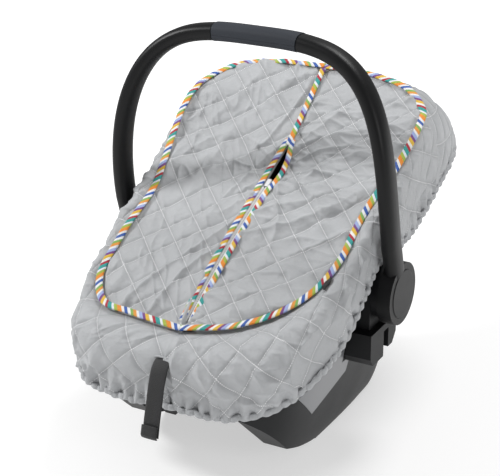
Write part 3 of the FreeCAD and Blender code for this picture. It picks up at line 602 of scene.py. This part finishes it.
class Look:
    """One material: its nodes, its coordinates and its Principled shader."""

    def __init__(self, name, rough=0.6, metal=0.0, coat=0.0, sheen=0.0):
        self.material = bpy.data.materials.new(name)
        self.material.use_nodes = True
        self.tree = self.material.node_tree
        self.shader = self.tree.nodes["Principled BSDF"]
        self.shader.inputs["Roughness"].default_value = rough
        self.shader.inputs["Metallic"].default_value = metal
        self.shader.inputs["Coat Weight"].default_value = coat
        self.shader.inputs["Sheen Weight"].default_value = sheen
        coordinates = self.tree.nodes.new("ShaderNodeTexCoord")
        self.place = coordinates.outputs["Object"]
        self.uv = coordinates.outputs["UV"]

    def parts(self, socket):
        node = self.tree.nodes.new("ShaderNodeSeparateXYZ")
        self.tree.links.new(socket, node.inputs[0])
        return [Val(self.tree, out) for out in node.outputs]

    def noise(self, scale, detail=3.0, rough=0.5, where=None):
        node = self.tree.nodes.new("ShaderNodeTexNoise")
        node.inputs["Scale"].default_value = scale
        node.inputs["Detail"].default_value = detail
        node.inputs["Roughness"].default_value = rough
        self.tree.links.new(where or self.place, node.inputs["Vector"])
        return Val(self.tree, node.outputs["Fac"])

    def cells(self, scale, where=None):
        node = self.tree.nodes.new("ShaderNodeTexVoronoi")
        node.inputs["Scale"].default_value = scale
        self.tree.links.new(where or self.place, node.inputs["Vector"])
        return Val(self.tree, node.outputs["Distance"])

    def mix(self, share, one, other):
        node = self.tree.nodes.new("ShaderNodeMix")
        node.data_type = "RGBA"
        if isinstance(share, Val):
            self.tree.links.new(share.socket, node.inputs["Factor"])
        for key, value in (("A", one), ("B", other)):
            slot = [s for s in node.inputs if s.name == key and s.type == "RGBA"][0]
            if isinstance(value, (tuple, list)):
                slot.default_value = (*value, 1)
            else:
                self.tree.links.new(value, slot)
        return [s for s in node.outputs if s.type == "RGBA"][0]

    def ramp(self, value, stops, constant=True):
        node = self.tree.nodes.new("ShaderNodeValToRGB")
        node.color_ramp.interpolation = "CONSTANT" if constant else "LINEAR"
        elements = node.color_ramp.elements
        for i, (at, colour) in enumerate(stops):
            element = elements[i] if i < 2 else elements.new(at)
            element.position = at
            element.color = (*colour, 1)
        self.tree.links.new(value.socket, node.inputs[0])
        return node.outputs[0]

    def colour(self, socket):
        if isinstance(socket, (tuple, list)):
            self.shader.inputs["Base Color"].default_value = (*socket, 1)
        else:
            self.tree.links.new(socket, self.shader.inputs["Base Color"])

    def rough(self, value):
        self.tree.links.new(value.socket, self.shader.inputs["Roughness"])

    def bump(self, value, depth, strength=1.0):
        node = self.tree.nodes.new("ShaderNodeBump")
        node.inputs["Distance"].default_value = depth
        node.inputs["Strength"].default_value = strength
        self.tree.links.new(value.socket, node.inputs["Height"])
        self.tree.links.new(node.outputs[0], self.shader.inputs["Normal"])


def shade(colour, amount):
    return tuple(min(1.0, c * amount) for c in colour)


# %% Hard materials
def plastic(name, colour, rough, grain=900, depth=0.00006, coat=0.0):
    look = Look(name, rough, coat=coat)
    look.shader.inputs["Specular IOR Level"].default_value = 0.22
    fine, wide = look.noise(grain, 2), look.noise(14, 4)
    look.colour(look.mix(wide, shade(colour, 0.85), shade(colour, 1.2)))
    look.rough(wide * 0.12 + (rough - 0.06))
    look.bump(fine, depth)
    return look.material


def steel(name, colour):
    look = Look(name, 0.3, metal=1.0)
    x, y, z = look.parts(look.place)
    streak = look.noise(220, 2)
    look.colour(look.mix(look.noise(30), shade(colour, 0.8), colour))
    look.rough(streak * 0.25 + 0.2)
    look.bump(streak, 0.00002)
    return look.material


def foam(name, colour):
    look = Look(name, 0.8)
    beads = look.cells(260)
    # Painted shade: each bead is lighter in its middle and darker towards its rim, from the same cells that give the
    # bump.
    look.colour(look.mix(beads, shade(colour, 1.3), shade(colour, 0.6)))
    look.bump(beads, 0.0006)
    return look.material


# %% Cloth materials
def weave_of(look, a, b, pitch):
    """Over-and-under threads."""
    one = (a * (math.pi / pitch)).sine()
    other = (b * (math.pi / pitch)).sine()
    return (one * other) * 0.5 + 0.5


def quilted(name, colour):
    look = Look(name, 0.58, sheen=0.1)
    u, v, _ = look.parts(look.uv)
    wave = look.noise(60, 2, where=look.uv) * 0.0014
    root = CELL * math.sqrt(2)
    a = (u + v + wave) / root
    b = (u - v + wave) / root
    near = []
    marks = []
    for line, other in ((a, b), (b, a)):
        away = ((line + 0.5).fract() - 0.5).abs() * CELL
        dash = ((other * (root / 0.0040)).fract()).below(0.55)
        marks.append(away.below(0.00055) * dash)
        near.append(away)
    stitch = marks[0].most(marks[1])
    valley = near[0].least(near[1])
    groove = (valley / 0.006).least(1.0)
    tone = look.noise(9, 4) * 0.5 + look.noise(120, 3) * 0.3
    weave = weave_of(look, u, v, 0.00055)
    cloth = look.mix(tone, shade(colour, 0.86), shade(colour, 1.1))
    # Painted shade: the cloth is darkened towards each quilting stitch line, where the pillows dip, and this is
    # multiplied in at a share of 0.22. The same groove also drives the bump below.
    groove_painted_shade = look.mix(groove, shade(colour, 0.8), (1, 1, 1))
    painted_shade_mix = look.tree.nodes.new("ShaderNodeMix")
    painted_shade_mix.data_type = "RGBA"
    painted_shade_mix.blend_type = "MULTIPLY"
    painted_shade_mix.inputs["Factor"].default_value = 0.22
    sockets = [s for s in painted_shade_mix.inputs if s.type == "RGBA"]
    look.tree.links.new(cloth, sockets[0])
    look.tree.links.new(groove_painted_shade, sockets[1])
    cloth_with_painted_shade = [s for s in painted_shade_mix.outputs if s.type == "RGBA"][0]
    look.colour(look.mix(stitch, cloth_with_painted_shade, (0.84, 0.84, 0.85)))
    pucker = look.noise(420, 3, where=look.uv)
    crumple = look.noise(34, 6, 0.62)
    height = groove * 0.4 + pucker * 0.25 + weave * 0.1 + stitch * 0.4 + crumple * 4.0
    look.bump(height, 0.0011)
    return look.material


STRIPES = [
    (0.00, (0.80, 0.80, 0.78)), (0.06, (0.04, 0.11, 0.40)), (0.13, (0.76, 0.76, 0.75)), (0.19, (0.78, 0.26, 0.03)),
    (0.28, (0.36, 0.46, 0.07)), (0.35, (0.74, 0.76, 0.80)), (0.40, (0.03, 0.32, 0.30)), (0.49, (0.42, 0.02, 0.04)),
    (0.55, (0.80, 0.80, 0.78)), (0.61, (0.72, 0.46, 0.05)), (0.69, (0.18, 0.06, 0.24)), (0.75, (0.34, 0.42, 0.70)),
    (0.82, (0.78, 0.78, 0.77)), (0.87, (0.74, 0.30, 0.05)), (0.94, (0.22, 0.42, 0.10)),
]


def striped(name, lean):
    look = Look(name, 0.8, sheen=0.1)
    u, v, _ = look.parts(look.uv)
    waver = look.noise(90, 2, where=look.uv) * 0.0016
    at = ((u + v * lean + waver) / 0.082).fract()
    look.colour(look.ramp(at, STRIPES))
    weave = weave_of(look, u + v, u - v, 0.0006)
    look.bump(weave * 0.4 + look.noise(300, 3, where=look.uv) * 0.6, 0.0005)
    return look.material


def webbing(name, colour):
    look = Look(name, 0.6, sheen=0.1)
    u, v, _ = look.parts(look.uv)
    rib = (u * (math.pi / 0.0011)).sine() * 0.5 + 0.5
    edge = (v.abs() - 0.0095).math("GREATER_THAN", 0.0)
    twill = ((u + v.abs()) * (math.pi / 0.0016)).sine() * 0.5 + 0.5
    # Painted light: a painted highlight on the crests of the ribs and twill and painted shade in their troughs,
    # following the bump's pattern.
    look.colour(look.mix(rib * twill, shade(colour, 0.7), shade(colour, 1.7)))
    look.bump(rib * 0.6 + twill * 0.4 + edge * 0.6, 0.0004)
    return look.material


def woven(name, colour, pitch=0.0007, soft=0.85):
    look = Look(name, soft, sheen=0.15)
    x, y, z = look.parts(look.place)
    threads = weave_of(look, x + y, z + y * 0.5, pitch)
    look.colour(look.mix(look.noise(40, 4), shade(colour, 0.8), shade(colour, 1.2)))
    look.bump(threads * 0.6 + look.noise(200) * 0.4, 0.0005)
    return look.material


def film(name, colour):
    look = Look(name, 0.35, coat=0.3)
    look.colour(look.mix(look.noise(25), shade(colour, 0.96), colour))
    look.bump(look.noise(500), 0.00003)
    return look.material


BLACK = (0.012, 0.0125, 0.014)
GREY = (0.43, 0.44, 0.452)
LOOKS = {
    "shell_plastic": plastic("shell_plastic", (0.0075, 0.008, 0.009), 0.48),
    "handle_plastic": plastic("handle_plastic", (0.005, 0.0052, 0.0057), 0.42),
    "grip_rubber": plastic("grip_rubber", (0.030, 0.034, 0.042), 0.62, 1500, 0.00012),
    "foam": foam("foam", (0.05, 0.05, 0.055)),
    "seat_fabric": woven("seat_fabric", (0.025, 0.027, 0.03)),
    "insert_fabric": woven("insert_fabric", (0.20, 0.21, 0.23), 0.0012),
    "cover_cloth": quilted("cover_cloth", GREY),
    "cover_plain": woven("cover_plain", GREY, 0.0007),
    "striped_binding": striped("striped_binding", 0.9),
    "zip_tape": woven("zip_tape", (0.75, 0.75, 0.75), 0.0006),
    "zip_metal": plastic("zip_metal", (0.72, 0.72, 0.72), 0.35),
    "webbing": webbing("webbing", (0.010, 0.010, 0.011)),
    "red_fabric": woven("red_fabric", (0.42, 0.018, 0.02), 0.0010),
    "label_film": film("label_film", (0.16, 0.165, 0.175)),
    "tag_cloth": woven("tag_cloth", (0.010, 0.010, 0.011), 0.0005),
    "canopy_fabric": woven("canopy_fabric", (0.03, 0.03, 0.034)),
    "bow_plastic": plastic("bow_plastic", (0.02, 0.02, 0.022), 0.5),
    "steel": steel("steel", (0.6, 0.6, 0.62)),
    "latch_metal": steel("latch_metal", (0.16, 0.16, 0.17)),
    "buckle_plastic": plastic("buckle_plastic", BLACK, 0.35),
    "button_red": plastic("button_red", (0.45, 0.012, 0.012), 0.35),
    "button_grey": plastic("button_grey", (0.09, 0.095, 0.11), 0.4),
}
print(len(LOOKS), "materials")

# %% Put a material on every piece
def dress(obj, key):
    obj.data.materials.clear()
    obj.data.materials.append(LOOKS[key])


SOFT_SLOTS = {"skirt": "cover_cloth", "flap": "cover_cloth", "hood": "cover_cloth", "hem": "cover_plain",
              "loop": "striped_binding", "zip_binding": "striped_binding", "seam_binding": "striped_binding",
              "tape": "zip_tape", "teeth": "zip_metal", "strap": "webbing", "strap_fold": "webbing",
              "slit": "cover_plain", "tag": "tag_cloth", "infant": "insert_fabric", "head": "insert_fabric"}
NODE_SLOTS = {s["node"]: s["material_slot"] for s in frame["record"]["subparts"]}
for key, obj in PIECES.items():
    best = max((k for k in SOFT_SLOTS if key.startswith(k)), key=len)
    dress(obj, SOFT_SLOTS[best])
    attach(obj, "seat")
for node, obj in frame["nodes"].items():
    obj.data.materials.clear()
    obj.data.materials.append(LOOKS[NODE_SLOTS[node]])
print("dressed", len(PIECES), "soft pieces and", len(frame["nodes"]), "CAD nodes")

# %% [markdown]
# ## Floor, light and camera
# Big soft lamps over a white floor. The background is plain white for the camera only.

# %% Floor and backdrop
bpy.ops.mesh.primitive_plane_add(size=12, location=(0, 0, 0))
floor = bpy.context.object
floor.name = "floor"
ground = Look("floor", 0.9)
ground.colour((0.92, 0.92, 0.92))
x, y, z = ground.parts(ground.place)
far = ((x * x + y * y).power(0.5) - 0.35) / 0.45
glow = ground.tree.nodes.new("ShaderNodeEmission")
glow.inputs["Strength"].default_value = 1.3
fade = ground.tree.nodes.new("ShaderNodeMixShader")
ground.tree.links.new(far.most(0.42).least(1.0).socket, fade.inputs[0])
ground.tree.links.new(ground.shader.outputs[0], fade.inputs[1])
ground.tree.links.new(glow.outputs[0], fade.inputs[2])
ground.tree.links.new(fade.outputs[0], ground.tree.nodes["Material Output"].inputs["Surface"])
floor.data.materials.append(ground.material)

world = bpy.data.worlds.new("studio")
bpy.context.scene.world = world
world.use_nodes = True
nodes, links = world.node_tree.nodes, world.node_tree.links
nodes.clear()
out = nodes.new("ShaderNodeOutputWorld")
pick = nodes.new("ShaderNodeMixShader")
path = nodes.new("ShaderNodeLightPath")
for slot, strength in ((1, 0.30), (2, 1.0)):
    glow = nodes.new("ShaderNodeBackground")
    glow.inputs["Color"].default_value = (1, 1, 1, 1)
    glow.inputs["Strength"].default_value = strength
    links.new(glow.outputs[0], pick.inputs[slot])
links.new(path.outputs["Is Camera Ray"], pick.inputs[0])
links.new(pick.outputs[0], out.inputs[0])


# %% Lamps
def lamp(name, place, target, size, power):
    bpy.ops.object.light_add(type="AREA", location=place)
    light = bpy.context.object
    light.name = name
    light.data.shape = "DISK"
    light.data.size = size
    light.data.energy = power
    light.rotation_euler = (Vector(target) - Vector(place)).to_track_quat("-Z", "Y").to_euler()
    return light


lamp("key", (-1.9, -0.9, 1.9), (0, 0, 0.2), 0.55, 50)
lamp("top", (0.4, 0.9, 2.6), (0, 0, 0.2), 1.0, 38)
lamp("side", (2.6, -0.9, 1.3), (0, 0, 0.3), 0.9, 14)

# %% Camera
AZ, EL = math.radians(28.2), math.radians(21.37)
AWAY = 2.0975
TARGET = Vector((0, 0, 0.300))
bpy.ops.object.camera_add()
camera = bpy.context.object
toward = Vector((math.sin(AZ) * math.cos(EL), -math.cos(AZ) * math.cos(EL), math.sin(EL)))
camera.location = TARGET + toward * AWAY
camera.rotation_euler = (-toward).to_track_quat("-Z", "Y").to_euler()
camera.data.sensor_width = 36
camera.data.lens = 107.4
camera.data.shift_x = -0.0217
camera.data.shift_y = -0.0482
camera.data.dof.use_dof = False
bpy.context.scene.camera = camera
scene = bpy.context.scene
scene.view_settings.view_transform = "Standard"
scene.view_settings.look = "None"
